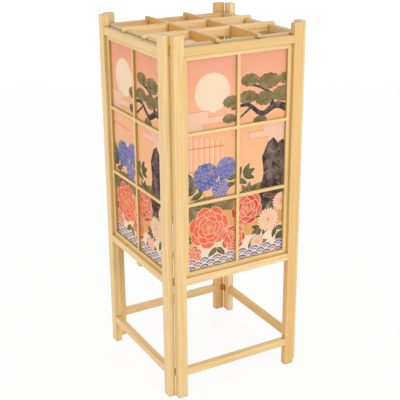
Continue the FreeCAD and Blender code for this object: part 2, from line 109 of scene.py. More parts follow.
def new_material(name):
    """An empty material and its node tree."""
    material = bpy.data.materials.new(name)
    material.use_nodes = True
    material.node_tree.nodes.clear()
    return material, material.node_tree


def finish_material(tree, shader):
    add(tree, "ShaderNodeOutputMaterial", inputs={"Surface": shader})


# Spruce, planed and clear lacquered: pale straw yellow with fine straight darker lines of late wood and a low satin
# sheen. Sawn ends are browner. Upward faces high on the lantern carry a painted grey sheen, and corners, creases
# and the sides of the paper's bars carry painted shade in dark gold.
# The last two tones are one lattice board, painted lit on the bars along X and painted in shade on the bars along
# Y.
TONES = {
    "straw": "#EDD09B", "golden": "#E2B876", "pale": "#F4DAAA", "sash": "#ECCC96", "cream": "#FFE0AA",
    "shaded_amber": "#EDB85E",
}
# The third colour is a painted grey sheen, and the last is the dark gold of painted shade.
LATE_WOOD, HONEY, PAINTED_SHEEN_GREY, END_GRAIN, PAINTED_SHADE_GOLD = "#D6AC62", "#E2B874", "#C4B498", "#D8B276", "#B6953A"
CREASE_REACH = 6.0  # how far into a corner, in mm, the painted shade reaches
PAINTED_SHEEN_ABOVE = 600.0  # the painted grey sheen is put only on upward faces above this height, in mm
RING_PITCH = 4.0  # late wood lies 1.5 to 3 mm apart, drawn a little coarser so that it shows
FIBRE_PITCH = 1.1  # fibres are finer than 0.1 mm, drawn as coarse as shows
BOARD_PITCH = 70.0  # slow change of tone along a board
FIBRE_RELIEF = 0.06
GRAIN_STRETCH = 0.03  # a figure is only this share as wide as it is long
BOARD_SHIFT = (0.31, 0.17, 0.23)  # metres by which the figure moves at most from one piece of wood to another
AXES = {"x": (1, 0, 0), "y": (0, 1, 0), "z": (0, 0, 1)}
LATE_RANGE = (0.46, 0.66, 0.0, 0.62)  # of the rings' noise, to how much of a late wood line shows
STREAK_RANGE = (0.5, 0.75, 0.0, 0.35)  # of the fibres' noise, to how dark a fibre is
CLOUD_RANGE = (0.35, 0.65, 0.0)  # of the boards' noise, up to how honeyed the wood is
END_RANGE = (0.8, 0.95, 0.0, 0.75)  # from a face along the grain to one across it
UPPER_RANGE = (0.6, 0.95, 0.0, 0.8)  # from an upright face to a level one
CREASE_RANGE = (0.35, 0.85, 0.85, 0.0)  # of the occlusion, from a shut corner to open space, to how much painted shade
SIDE_RANGE = (0.3, 0.7, 0.8, 0.0)  # from a bar's side to its face, to how much painted shade
WOOD_ROUGHNESS = (0.42, 0.6)


def spruce(name, along, tone="straw", across=None, crossed_where=None, honeyed=0.55, faced=None):
    """Spruce with its grain along one axis, or along a second one where the test gives 1.

    On the thin bars that hold the paper, the sides that don't face out of the panel get painted shade: faced is
    that axis.
    """
    material, tree = new_material(name)
    place = add(tree, "ShaderNodeTexCoord")
    point, normal = place.outputs["Object"], place.outputs["Normal"]
    axis = AXES[along]
    if across is not None:
        ways = {FACTOR: crossed_where(tree, point), VECTOR_A: AXES[along], VECTOR_B: AXES[across]}
        axis = add(tree, "ShaderNodeMix", {"data_type": "VECTOR"}, ways).outputs[VECTOR_OUT]

    # figure, drawn out along the grain
    squeeze = [axis, (GRAIN_STRETCH - 1,) * 3, (1, 1, 1)]
    squeeze = add(tree, "ShaderNodeVectorMath", {"operation": "MULTIPLY_ADD"}, squeeze).outputs[0]
    board = add(tree, "ShaderNodeObjectInfo").outputs["Random"]
    shift = add(tree, "ShaderNodeVectorMath", {"operation": "SCALE"}, {0: BOARD_SHIFT, "Scale": board})
    moved = add(tree, "ShaderNodeVectorMath", {"operation": "ADD"}, [point, shift.outputs[0]])
    flow = add(tree, "ShaderNodeVectorMath", {"operation": "MULTIPLY"}, [moved.outputs[0], squeeze]).outputs[0]
    figures = ((RING_PITCH, 2.0), (FIBRE_PITCH, 1.0), (BOARD_PITCH, 2.0))
    figures = ({"Vector": flow, "Scale": 1 / (pitch * MM), "Detail": detail} for pitch, detail in figures)
    rings, fibres, boards = (add(tree, "ShaderNodeTexNoise", inputs=figure).outputs["Fac"] for figure in figures)
    late = add(tree, "ShaderNodeMapRange", inputs=[rings, *LATE_RANGE]).outputs[0]
    cloud = add(tree, "ShaderNodeMapRange", inputs=[boards, *CLOUD_RANGE, honeyed]).outputs[0]
    streak = add(tree, "ShaderNodeMapRange", inputs=[fibres, *STREAK_RANGE]).outputs[0]

    # end grain, painted sheen on upper faces, and painted shade in corners
    squareness = add(tree, "ShaderNodeVectorMath", {"operation": "DOT_PRODUCT"}, [normal, axis]).outputs["Value"]
    squareness = add(tree, "ShaderNodeMath", {"operation": "ABSOLUTE"}, [squareness]).outputs[0]
    sawn = add(tree, "ShaderNodeMapRange", inputs=[squareness, *END_RANGE]).outputs[0]
    # painted grey sheen on upward faces above a set height
    upward = add(tree, "ShaderNodeVectorMath", {"operation": "DOT_PRODUCT"}, [normal, AXES["z"]]).outputs["Value"]
    upper = add(tree, "ShaderNodeMapRange", inputs=[upward, *UPPER_RANGE]).outputs[0]
    height = add(tree, "ShaderNodeSeparateXYZ", inputs=[point]).outputs["Z"]
    above_sheen_line = add(tree, "ShaderNodeMath", {"operation": "GREATER_THAN"}, [height, PAINTED_SHEEN_ABOVE * MM]).outputs[0]
    painted_sheen_share = add(tree, "ShaderNodeMath", {"operation": "MULTIPLY"}, [upper, above_sheen_line]).outputs[0]
    # painted shade: ambient occlusion turns corners and creases dark gold
    crease_occlusion = add(tree, "ShaderNodeAmbientOcclusion", {"samples": 4}, {"Distance": CREASE_REACH * MM}).outputs["AO"]
    gold = add(tree, "ShaderNodeMapRange", inputs=[crease_occlusion, *CREASE_RANGE]).outputs[0]
    # painted shade on the sides of the paper's bars, which lie in the panel's recess
    if faced is not None:
        out = add(tree, "ShaderNodeVectorMath", {"operation": "DOT_PRODUCT"}, [normal, AXES[faced]])
        out = add(tree, "ShaderNodeMath", {"operation": "ABSOLUTE"}, [out.outputs["Value"]]).outputs[0]
        side = add(tree, "ShaderNodeMapRange", inputs=[out, *SIDE_RANGE]).outputs[0]
        gold = add(tree, "ShaderNodeMath", {"operation": "MAXIMUM"}, [gold, side]).outputs[0]

    wood = srgb(TONES[tone])
    for share, code in (
        (late, LATE_WOOD), (cloud, HONEY), (streak, LATE_WOOD), (sawn, END_GRAIN), (painted_sheen_share, PAINTED_SHEEN_GREY), (gold, PAINTED_SHADE_GOLD),
    ):
        tints = {FACTOR: share, COLOUR_A: wood, COLOUR_B: srgb(code)}
        wood = add(tree, "ShaderNodeMix", {"data_type": "RGBA"}, tints).outputs[COLOUR_OUT]
    rough = add(tree, "ShaderNodeMapRange", inputs=[fibres, *NOISE_RANGE, *WOOD_ROUGHNESS]).outputs[0]
    relief = {"Strength": 0.35, "Distance": FIBRE_RELIEF * MM, "Height": fibres}
    relief = add(tree, "ShaderNodeBump", inputs=relief).outputs[0]
    lacquer = {"Coat Weight": 0.12, "Coat Roughness": 0.35}
    shader = add(
        tree, "ShaderNodeBsdfPrincipled",
        inputs={"Base Color": wood, "Roughness": rough, "Normal": relief, **lacquer},
    )
    finish_material(tree, shader.outputs[0])
    return material


def beyond(axis, limit):
    """A test for points further than the limit from the middle plane across an axis."""

    def test(tree, point):
        parts = add(tree, "ShaderNodeSeparateXYZ", inputs=[point])
        away = add(tree, "ShaderNodeMath", {"operation": "ABSOLUTE"}, [parts.outputs[axis.upper()]])
        return add(tree, "ShaderNodeMath", {"operation": "GREATER_THAN"}, [away.outputs[0], limit]).outputs[0]

    return test


SLAT_THICKNESS = 9.0


def side_slats(tree, point):
    """1 on the two slats that run along Y, each of which butts against the next slat round."""
    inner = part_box("lid_slats")[1].x - SLAT_THICKNESS * MM
    parts = add(tree, "ShaderNodeSeparateXYZ", inputs=[point])
    rear = add(tree, "ShaderNodeMath", {"operation": "SIGN"}, [parts.outputs["Y"]])
    ahead = add(tree, "ShaderNodeMath", {"operation": "MULTIPLY"}, [parts.outputs["X"], rear.outputs[0]])
    deep = add(tree, "ShaderNodeMath", {"operation": "ABSOLUTE"}, [parts.outputs["Y"]])
    level = add(tree, "ShaderNodeMath", {"operation": "GREATER_THAN"}, [deep.outputs[0], inner])
    reaches = add(tree, "ShaderNodeMath", {"operation": "GREATER_THAN"}, [ahead.outputs[0], -inner])
    both = add(tree, "ShaderNodeMath", {"operation": "MULTIPLY"}, [level.outputs[0], reaches.outputs[0]])
    return add(tree, "ShaderNodeMath", {"operation": "SUBTRACT"}, [1.0, both.outputs[0]]).outputs[0]


# Mulberry paper printed with wood blocks: matt, a little see-through, with long soft fibres and inks that sink in
# unevenly. The ground is printed too, and fades from salmon above to pale apricot below.
PAPER_FIBRE_PITCH = 5.0  # fibres of 5 to 10 mm lie all ways in the sheet
PAPER_RELIEF = 0.05
MOTTLE_PITCH = 14.0  # the hand-rubbed block leaves ink darker and paler over a finger's width
GROUND = ((0.0, "#FFDEB2"), (0.4, "#FFD6A6"), (0.78, "#FFCDA6"), (1.0, "#F6BAA2"))  # share of the height, colour
BARE, RUBBED, THREAD = "#FFF6EA", "#FBE3C8", "#FFF3E0"
SEE_THROUGH = 0.5  # half of what enters the printed face of the sheet goes on through it
SEE_THROUGH_BARE = 0.3  # the unprinted face is whiter than the inks, and scatters more light back
RUB_RANGE = (0.42, 0.7, 0.0)  # of the mottle, up to how far the ink is rubbed away
GROUND_WEAR, INK_WEAR = 0.10, 0.25
THREAD_RANGE = (0.56, 0.72, 0.0, 0.22)  # of the fibres' noise, to how much of a fibre shows
INKS = {
    "cream": "#FDEED8", "blush": "#FBDCC4", "orange": "#F29E62", "olive": "#9A8850", "gold": "#F0BC74",
    "charcoal": "#47383A", "slate": "#6A5A5B", "green": "#636B48", "blue": "#6A78BE", "violet": "#9696D0",
    "lilac": "#C3B2D8", "vermilion": "#F67E58", "red": "#E0573C",
}
PAPER_LOW, PAPER_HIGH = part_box("front_right_paper")


def mulberry_paper(name, ink):
    """The paper where one ink lies on it, or its graded ground, or bare."""
    material, tree = new_material(name)
    point = add(tree, "ShaderNodeTexCoord").outputs["Object"]
    mottle = {"Vector": point, "Scale": 1 / (MOTTLE_PITCH * MM), "Detail": 3.0}
    mottle = add(tree, "ShaderNodeTexNoise", inputs=mottle).outputs["Fac"]
    fibre = {"Vector": point, "Scale": 1 / (PAPER_FIBRE_PITCH * MM), "Detail": 4.0, "Roughness": 0.7}
    fibre = add(tree, "ShaderNodeTexNoise", inputs={**fibre, "Distortion": 1.5}).outputs["Fac"]
    if ink == "ground":
        height = add(tree, "ShaderNodeSeparateXYZ", inputs=[point]).outputs["Z"]
        rise = add(tree, "ShaderNodeMapRange", inputs=[height, PAPER_LOW.z, PAPER_HIGH.z])
        graded = add(tree, "ShaderNodeValToRGB", inputs=[rise.outputs[0]])
        ramp = graded.color_ramp.elements
        while len(ramp) < len(GROUND):
            ramp.new(0.5)
        for stop, (where, code) in zip(ramp, GROUND):
            stop.position, stop.color = where, srgb(code)
        colour, wear = graded.outputs["Color"], GROUND_WEAR
    else:
        colour, wear = srgb(BARE if ink == "bare" else INKS[ink]), INK_WEAR
    rubbed = add(tree, "ShaderNodeMapRange", inputs=[mottle, *RUB_RANGE, wear]).outputs[0]
    thread = add(tree, "ShaderNodeMapRange", inputs=[fibre, *THREAD_RANGE]).outputs[0]
    for share, code in ((rubbed, RUBBED), (thread, THREAD)):
        tints = {FACTOR: share, COLOUR_A: colour, COLOUR_B: srgb(code)}
        colour = add(tree, "ShaderNodeMix", {"data_type": "RGBA"}, tints).outputs[COLOUR_OUT]
    relief = {"Strength": 0.25, "Distance": PAPER_RELIEF * MM, "Height": fibre}
    relief = add(tree, "ShaderNodeBump", inputs=relief).outputs[0]
    matt = {"Base Color": colour, "Roughness": 0.85, "Normal": relief}
    front = add(tree, "ShaderNodeBsdfPrincipled", inputs=matt)
    through = add(tree, "ShaderNodeBsdfTranslucent", inputs={"Color": colour})
    let_by = SEE_THROUGH_BARE if ink == "bare" else SEE_THROUGH
    sheet = add(tree, "ShaderNodeMixShader", inputs=[let_by, front.outputs[0], through.outputs[0]])
    finish_material(tree, sheet.outputs[0])
    return material


# Brass that is stamped or turned and has lost its shine: browner where it is touched least, a dull gold sheen where
# it is touched most.
BRASS_PATCHES = (0.38, 0.62)  # of the patches' noise, from dull to proud
BRASS_ROUGHNESS = (0.55, 0.3)
BRASS_RELIEF = 0.05


def aged_brass(name, proud="#DDB368", dull="#B58A4A", patch_pitch=3.0):
    material, tree = new_material(name)
    point = add(tree, "ShaderNodeTexCoord").outputs["Object"]
    patch = {"Vector": point, "Scale": 1 / (patch_pitch * MM), "Detail": 4.0}
    patch = add(tree, "ShaderNodeTexNoise", inputs=patch).outputs["Fac"]
    share = add(tree, "ShaderNodeMapRange", inputs=[patch, *BRASS_PATCHES]).outputs[0]
    tints = {FACTOR: share, COLOUR_A: srgb(dull), COLOUR_B: srgb(proud)}
    colour = add(tree, "ShaderNodeMix", {"data_type": "RGBA"}, tints).outputs[COLOUR_OUT]
    rough = add(tree, "ShaderNodeMapRange", inputs=[patch, *NOISE_RANGE, *BRASS_ROUGHNESS]).outputs[0]
    relief = add(tree, "ShaderNodeBump", inputs={"Strength": 0.2, "Distance": BRASS_RELIEF * MM, "Height": patch})
    metal = {"Base Color": colour, "Metallic": 1.0, "Roughness": rough, "Normal": relief.outputs[0]}
    finish_material(tree, add(tree, "ShaderNodeBsdfPrincipled", inputs=metal).outputs[0])
    return material


# Urea plastic, moulded: warm white, with the soft gloss and the faint orange-peel skin of the mould.
SKIN_PITCH, SKIN_RELIEF = 0.9, 0.04
FLOW_PITCH = 18.0  # slow change of tone where the plastic flowed in
UREA_ROUGHNESS = (0.28, 0.42)


def moulded_urea(name):
    material, tree = new_material(name)
    point = add(tree, "ShaderNodeTexCoord").outputs["Object"]
    noises = ({"Vector": point, "Scale": 1 / (pitch * MM), "Detail": 2.0} for pitch in (SKIN_PITCH, FLOW_PITCH))
    skin, flow = (add(tree, "ShaderNodeTexNoise", inputs=noise).outputs["Fac"] for noise in noises)
    tints = {FACTOR: flow, COLOUR_A: srgb("#EFEBE1"), COLOUR_B: srgb("#E2DCCD")}
    colour = add(tree, "ShaderNodeMix", {"data_type": "RGBA"}, tints).outputs[COLOUR_OUT]
    rough = add(tree, "ShaderNodeMapRange", inputs=[skin, *NOISE_RANGE, *UREA_ROUGHNESS]).outputs[0]
    relief = add(tree, "ShaderNodeBump", inputs={"Strength": 0.15, "Distance": SKIN_RELIEF * MM, "Height": skin})
    plastic = {"Base Color": colour, "Roughness": rough, "Normal": relief.outputs[0]}
    finish_material(tree, add(tree, "ShaderNodeBsdfPrincipled", inputs=plastic).outputs[0])
    return material


# Opal glass: blown, and coated white inside, so it glows softly and keeps a sharp gloss on top.
OPAL_CLOUD_PITCH = 22.0
OPAL_ROUGHNESS = (0.3, 0.4)


def opal_glass(name):
    material, tree = new_material(name)
    point = add(tree, "ShaderNodeTexCoord").outputs["Object"]
    cloud = {"Vector": point, "Scale": 1 / (OPAL_CLOUD_PITCH * MM), "Detail": 2.0}
    cloud = add(tree, "ShaderNodeTexNoise", inputs=cloud).outputs["Fac"]
    tints = {FACTOR: cloud, COLOUR_A: srgb("#F6F4EE"), COLOUR_B: srgb("#E9E6DD")}
    colour = add(tree, "ShaderNodeMix", {"data_type": "RGBA"}, tints).outputs[COLOUR_OUT]
    rough = add(tree, "ShaderNodeMapRange", inputs=[cloud, *NOISE_RANGE, *OPAL_ROUGHNESS]).outputs[0]
    glass = {"Base Color": colour, "Roughness": rough, "Coat Weight": 0.8, "Coat Roughness": 0.04}
    finish_material(tree, add(tree, "ShaderNodeBsdfPrincipled", inputs=glass).outputs[0])
    return material


# Rolled metal, of a bulb's cap or a contact: pale, with fine level lines that are brighter and duller by turns.
TURNING_PITCH = 0.5
TURNING_STRETCH = (0.05, 0.05, 1.0)  # the lines run level
ROLLED_ROUGHNESS = (0.22, 0.38)


def rolled_metal(name, bright, dull):
    material, tree = new_material(name)
    point = add(tree, "ShaderNodeTexCoord").outputs["Object"]
    level = add(tree, "ShaderNodeVectorMath", {"operation": "MULTIPLY"}, [point, TURNING_STRETCH]).outputs[0]
    lines = {"Vector": level, "Scale": 1 / (TURNING_PITCH * MM), "Detail": 2.0}
    lines = add(tree, "ShaderNodeTexNoise", inputs=lines).outputs["Fac"]
    tints = {FACTOR: lines, COLOUR_A: srgb(bright), COLOUR_B: srgb(dull)}
    colour = add(tree, "ShaderNodeMix", {"data_type": "RGBA"}, tints).outputs[COLOUR_OUT]
    rough = add(tree, "ShaderNodeMapRange", inputs=[lines, *NOISE_RANGE, *ROLLED_ROUGHNESS]).outputs[0]
    metal = {"Base Color": colour, "Metallic": 1.0, "Roughness": rough}
    finish_material(tree, add(tree, "ShaderNodeBsdfPrincipled", inputs=metal).outputs[0])
    return material


# Black glass between a cap's barrel and its tip: pressed, smooth and glossy.
HAZE_PITCH = 4.0


def pressed_black_glass(name):
    material, tree = new_material(name)
    point = add(tree, "ShaderNodeTexCoord").outputs["Object"]
    haze = add(tree, "ShaderNodeTexNoise", inputs={"Vector": point, "Scale": 1 / (HAZE_PITCH * MM), "Detail": 2.0})
    tints = {FACTOR: haze.outputs["Fac"], COLOUR_A: srgb("#17161A"), COLOUR_B: srgb("#2A2830")}
    colour = add(tree, "ShaderNodeMix", {"data_type": "RGBA"}, tints).outputs[COLOUR_OUT]
    glass = add(tree, "ShaderNodeBsdfPrincipled", inputs={"Base Color": colour, "Roughness": 0.12})
    finish_material(tree, glass.outputs[0])
    return material


# The print: a garden of the seasons by the water. Its flat shapes are in mm, with the origin at the middle of the
# sheet's foot, and each pair is an ink and the outline that it fills over what lies behind.
PRINT_WIDTH, PRINT_HEIGHT = (PAPER_HIGH.x - PAPER_LOW.x) / MM, (PAPER_HIGH.z - PAPER_LOW.z) / MM


def turned(points, degrees, at=(0.0, 0.0)):
    """Points turned about the origin and moved to a place on the sheet."""
    c, s = math.cos(math.radians(degrees)), math.sin(math.radians(degrees))
    return [(at[0] + x * c - y * s, at[1] + x * s + y * c) for x, y in points]


def oval(at, across, high, tilt=0.0, count=36):
    steps = [2 * math.pi * i / count for i in range(count)]
    return turned([(across * math.cos(a), high * math.sin(a)) for a in steps], tilt, at)


LEAF_FULLNESS = 0.85  # below 1, a leaf is rounder than a sine curve


def leaf(at, length, width, tilt, fullest=0.4, count=9):
    """A pointed leaf from its stalk, along its tilt, and widest at a share of its length."""
    shares = [i / count for i in range(count + 1)]
    lean = math.log(0.5) / math.log(fullest)
    edge = [
        (length * t, width / 2 * math.sin(math.pi * t**lean) ** LEAF_FULLNESS if 0 < t < 1 else 0.0) for t in shares
    ]
    return turned(edge + [(x, -y) for x, y in reversed(edge[1:-1])], tilt, at)


NOTCH_SPREAD = 0.32  # radians from a petal's notch to where it has mostly gone
PETAL_FOOT, PETAL_BULGE = 0.55, 0.45  # shares of the width, at a petal's foot and from there to its tip
PETAL_TAPER = 0.6  # below 1, the width is kept for longer on the way to the foot


def petal(at, length, width, tilt, notch=0.08, count=16):
    """A round petal with a shallow notch in its outer edge."""
    points = []
    for i in range(count):
        a = 2 * math.pi * i / count
        reach = 1 - notch * math.exp(-((math.remainder(a, 2 * math.pi) / NOTCH_SPREAD) ** 2))
        narrow = PETAL_FOOT + PETAL_BULGE * (1 + math.cos(a)) / 2
        x = length * (0.5 + 0.5 * math.cos(a) * reach)
        points.append((x, width / 2 * math.sin(a) * narrow**PETAL_TAPER))
    return turned(points, tilt, at)


def smooth(points, steps=7):
    """A smooth line through the points."""
    line = []
    padded = [points[0], *points, points[-1]]
    for a, b, c, d in zip(padded, padded[1:], padded[2:], padded[3:]):
        for i in range(steps):
            t = i / steps
            line.append(
                tuple(
                    0.5
                    * (2 * q + (r - p) * t + (2 * p - 5 * q + 4 * r - s) * t**2 + (3 * q - p - 3 * r + s) * t**3)
                    for p, q, r, s in zip(a, b, c, d)
                )
            )
    return line + [points[-1]]


def stroke(points, start, end, steps=7):
    """A brush stroke along a smooth line, from one width to another."""
    line = smooth(points, steps)
    left, right = [], []
    for i, (x, y) in enumerate(line):
        before, after = line[max(i - 1, 0)], line[min(i + 1, len(line) - 1)]
        dx, dy = after[0] - before[0], after[1] - before[1]
        reach = (start + (end - start) * i / (len(line) - 1)) / 2 / (math.hypot(dx, dy) or 1)
        left.append((x - dy * reach, y + dx * reach))
        right.append((x + dy * reach, y - dx * reach))
    return left + right[::-1]


def scalloped(at, radius, bumps, depth, squash=1.0, count=5):
    """A round shape with a scalloped edge."""
    points = []
    for i in range(bumps * count):
        a = 2 * math.pi * i / (bumps * count)
        r = radius * (1 - depth + depth * abs(math.sin(a * bumps / 2)))
        points.append((at[0] + r * math.cos(a), at[1] + r * math.sin(a) * squash))
    return points


PEONY_RINGS = ((1.0, 7, 0.88), (0.78, 7, 0.74), (0.56, 5, 0.62), (0.36, 5, 0.4))  # reach, petals, petal's width
PEONY_TWIST = 27.0  # degrees from one ring to the next
PEONY_TIP_LINE, PEONY_SIDE_LINES = 1.3, 2.4  # line that is left at a petal's tip, and at both its sides together
STAMENS = 9
HEART_RADIUS, STAMEN_RING, STAMEN_RADIUS = 0.13, 0.2, 0.035  # shares of the flower's radius


def peony(at, radius, fill, line, heart, turn=0.0):
    """Rings of round petals, each over a slightly larger one in the line's ink, about a heart of stamens."""
    shapes = []
    for ring, (reach, number, width) in enumerate(PEONY_RINGS):
        long, wide = radius * reach, radius * width
        for i in range(number):
            tilt = turn + ring * PEONY_TWIST + 360 * i / number
            shapes.append((line, petal(at, long, wide, tilt)))
            shapes.append((fill[(ring + i) % 2], petal(at, long - PEONY_TIP_LINE, wide - PEONY_SIDE_LINES, tilt)))
    shapes.append((heart, oval(at, radius * HEART_RADIUS, radius * HEART_RADIUS, count=16)))
    for i in range(STAMENS):
        away = turned([(radius * STAMEN_RING, 0)], turn + 360 * i / STAMENS, at)[0]
        shapes.append((heart, oval(away, radius * STAMEN_RADIUS, radius * STAMEN_RADIUS, count=8)))
    return shapes


CHRYSANTHEMUM_RINGS = ((1.0, 0.0), (0.74, 0.5), (0.48, 0.0))  # reach, and turn in shares of a petal
RAY_OVERLAP = 1.05
RAY_TIP_LINE, RAY_SIDE_LINES = 0.9, 1.3
DISC_RADIUS = 0.16  # share of the flower's radius


def chrysanthemum(at, radius, fill, line, heart, number=20):
    """Rings of narrow rays, each over a slightly larger one in the line's ink."""
    shapes = []
    for reach, offset in CHRYSANTHEMUM_RINGS:
        long = radius * reach
        wide = long * 2 * math.pi / number * RAY_OVERLAP
        for i in range(number):
            tilt = 360 * (i + offset) / number
            shapes.append((line, petal(at, long, wide, tilt, 0.0, 8)))
            shapes.append((fill, petal(at, long - RAY_TIP_LINE, wide - RAY_SIDE_LINES, tilt, 0.0, 8)))
    shapes.append((heart, oval(at, radius * DISC_RADIUS, radius * DISC_RADIUS, count=16)))
    return shapes


FLORET_RINGS = ((0.0, 1), (0.34, 6), (0.68, 12), (0.95, 16))  # share of the head's radius, florets
FLORETS_REACH = 0.92  # share of the head that the florets keep to
FLORET_TWIST = 100  # degrees that a ring at the head's edge is turned
FLORET_PETAL, FLORET_HEART = (0.165, 0.15), 0.028  # length and width, and radius, in the head's radius


def hydrangea(at, radius, fill, floret, heart, seed):
    """A round head of four-petalled florets."""
    place = random.Random(seed)
    shapes = [(fill, scalloped(at, radius, bumps=13, depth=0.1))]
    long, wide = (radius * share for share in FLORET_PETAL)
    for share, number in FLORET_RINGS:
        for i in range(number):
            away = 360 * i / number + FLORET_TWIST * share
            middle = turned([(radius * share * FLORETS_REACH, 0)], away, at)[0]
            tilt = place.uniform(0, 90)
            for quarter in range(4):
                ink = floret[(i + quarter // 2) % 2]
                shapes.append((ink, petal(middle, long, wide, tilt + 90 * quarter, 0.0, 6)))
            shapes.append((heart, oval(middle, radius * FLORET_HEART, radius * FLORET_HEART, count=6)))
    return shapes


CUSHION_BUMPS, CUSHION_DEPTH, CUSHION_LINE = 11, 0.12, 1.4
EDGE_SQUASH, FILL_SQUASH = 0.62, 0.6  # height of a cushion's edge and fill, in their width
NEEDLES, FIRST_NEEDLE, NEEDLE_STEP = 11, 12.0, 15.6  # number, degrees of the first, and to the next
NEEDLE_LENGTH, NEEDLE_DROP = 0.8, 0.3  # shares of the cushion's radius
NEEDLE_GATHER, NEEDLE_SQUASH = (0.18, 0.1), 0.88  # of the way out and up, where a needle starts and ends


def pine_cushion(at, radius, fill, line):
    """A cushion of pine needles that fan out from near its foot."""
    shapes = [
        (line, scalloped(at, radius, CUSHION_BUMPS, CUSHION_DEPTH, EDGE_SQUASH)),
        (fill, scalloped(at, radius - CUSHION_LINE, CUSHION_BUMPS, CUSHION_DEPTH, FILL_SQUASH)),
    ]
    low = at[1] - radius * NEEDLE_DROP
    for i in range(NEEDLES):
        x, y = turned([(radius * NEEDLE_LENGTH, 0)], FIRST_NEEDLE + NEEDLE_STEP * i)[0]
        foot = (at[0] + x * NEEDLE_GATHER[0], low + y * NEEDLE_GATHER[1])
        top = (at[0] + x, low + y * NEEDLE_SQUASH)
        shapes.append((line, stroke([foot, top], 1.0, 0.5, 2)))
    return shapes


# Shares of a sprig's length, and degrees between its stalk and a side leaf, fewer by a step for each pair
FIRST_PAIR, PAIR_STEP, SIDE_LEAF, SIDE_VEIN = 0.15, 0.33, 0.55, 0.5
TIP_LEAF_FOOT, TIP_LEAF, LEAF_WIDTH = 0.55, 0.5, 0.24
FIRST_SPREAD, SPREAD_STEP = 48, 8


def sprig(at, tilt, length, fill, vein, pairs=2):
    """A stalk with pairs of leaves and one at its tip."""
    shapes = []
    for i in range(pairs):
        foot = turned([(length * (FIRST_PAIR + PAIR_STEP * i), 0)], tilt, at)[0]
        for side in (-1, 1):
            aim = tilt + side * (FIRST_SPREAD - SPREAD_STEP * i)
            shapes.append((fill, leaf(foot, length * SIDE_LEAF, length * LEAF_WIDTH, aim)))
            tip = turned([(length * SIDE_VEIN, 0)], aim, foot)[0]
            shapes.append((vein, stroke([foot, tip], 1.0, 0.4, 2)))
    foot = turned([(length * TIP_LEAF_FOOT, 0)], tilt, at)[0]
    tip = turned([(length, 0)], tilt, at)[0]
    shapes.append((fill, leaf(foot, length * TIP_LEAF, length * LEAF_WIDTH, tilt)))
    shapes.append((vein, stroke([at, tip], 1.4, 0.4, 2)))
    return shapes


MIST_HALF_HEIGHT, MIST_LINE = 6.0, 1.0


def mist(low, bars, fill, line):
    """Level bars of mist with round ends: each bar is (left, right, height above low)."""
    shapes = []
    end = [math.radians(90 - 180 * i / 10) for i in range(11)]
    for grow, ink in ((MIST_LINE, line), (0.0, fill)):
        for left, right, rise in bars:
            half = MIST_HALF_HEIGHT + grow
            y = low + rise
            right_end = [(right + half * math.cos(a), y + half * math.sin(a)) for a in end]
            left_end = [(left - half * math.cos(a), y - half * math.sin(a)) for a in end]
            shapes.append((ink, right_end + left_end))
    return shapes


WAVE_RINGS = ((1.0, "cream"), (0.84, "blue"), (0.62, "cream"), (0.46, "violet"), (0.26, "cream"))


def waves(low, rows, radius):
    """Rows of overlapping wave scales, the highest row first."""
    shapes = []
    for row in reversed(range(rows)):
        y = low + row * radius * 0.5
        for i in range(-1, int(PRINT_WIDTH / radius / 2) + 2):
            x = -PRINT_WIDTH / 2 + radius * (2 * i + row % 2)
            for share, ink in WAVE_RINGS:
                shapes.append((ink, oval((x, y), radius * share, radius * share, count=20)))
    return shapes


# What the print shows and where, in mm from the sheet's foot, each list the furthest first
MOON_AT, MOON_RADIUS = (-50, 333), 35
FENCE_CANES, FENCE_LEFT, FENCE_PITCH = 7, -104, 11
FENCE_FOOT, FENCE_TOP = 168, 262
FENCE_DROP = 2.5  # each cane's top is this much lower than the one on its left
FENCE_SHADE_OFFSET = 3.4  # from a cane's middle to the line beside it
CANE_WIDTH, CANE_LINE, RAIL_WIDTH = 4.6, 1.0, 2.0
FENCE_RAILS = ((-110, 196), (-28, 193)), ((-110, 238), (-28, 235))
MISTS = (
    (296, ((-110, -62, 0), (-96, -20, -12), (-110, -74, -24))),
    (236, ((60, 112, 20), (30, 112, 8), (70, 112, -4))),
)
BANKS = (
    ("olive", [(-120, 108), (-60, 122), (0, 118), (60, 132), (125, 122)], 46, 40),
    ("gold", [(-120, 62), (-40, 84), (40, 70), (125, 92)], 60, 54),
    ("cream", [(-120, 22), (-40, 42), (40, 30), (125, 48)], 40, 40),
)
ROCKS = (
    (
        "charcoal",
        [
            (56, 96), (50, 132), (58, 168), (54, 200), (66, 226), (78, 234), (88, 222), (98, 228), (118, 204),
            (118, 92),
        ],
    ),
    ("slate", [(67, 222), (77, 230), (82, 212), (75, 180), (80, 146), (69, 126), (66, 166), (62, 198)]),
    ("slate", [(98, 222), (106, 215), (104, 186), (112, 154), (102, 126), (96, 162), (92, 198)]),
)
ROCK_SEAMS = (
    [(59, 166), (71, 173), (86, 166)], [(69, 212), (82, 205), (94, 212)], [(86, 146), (98, 139), (113, 146)],
    [(56, 126), (72, 118), (92, 124)], [(80, 190), (90, 181), (108, 186)],
)
PINE_BOUGHS = (
    ("charcoal", [(122, 276), (84, 294), (52, 282), (22, 302), (-12, 298)], 15, 4),
    ("charcoal", [(74, 290), (70, 314), (50, 330), (24, 338)], 9, 3),
    ("charcoal", [(30, 298), (4, 280), (-14, 276)], 5, 2),
    ("slate", [(118, 280), (84, 297), (54, 286), (26, 303)], 3, 1),
)
PINE_CUSHIONS = (
    ((96, 314), 24), ((58, 310), 22), ((22, 316), 20), ((-12, 312), 18), ((66, 340), 24), ((26, 346), 19),
    ((102, 342), 18), ((-16, 282), 14), ((48, 270), 15),
)
HYDRANGEA_SPRIG, CHRYSANTHEMUM_SPRIG = 46, 40  # lengths; a peony's sprig has its own in the table
HYDRANGEA_LEAVES = (((-66, 148), 150), ((-30, 150), 60), ((-6, 164), 20), ((-84, 176), 175), ((-48, 132), 250))
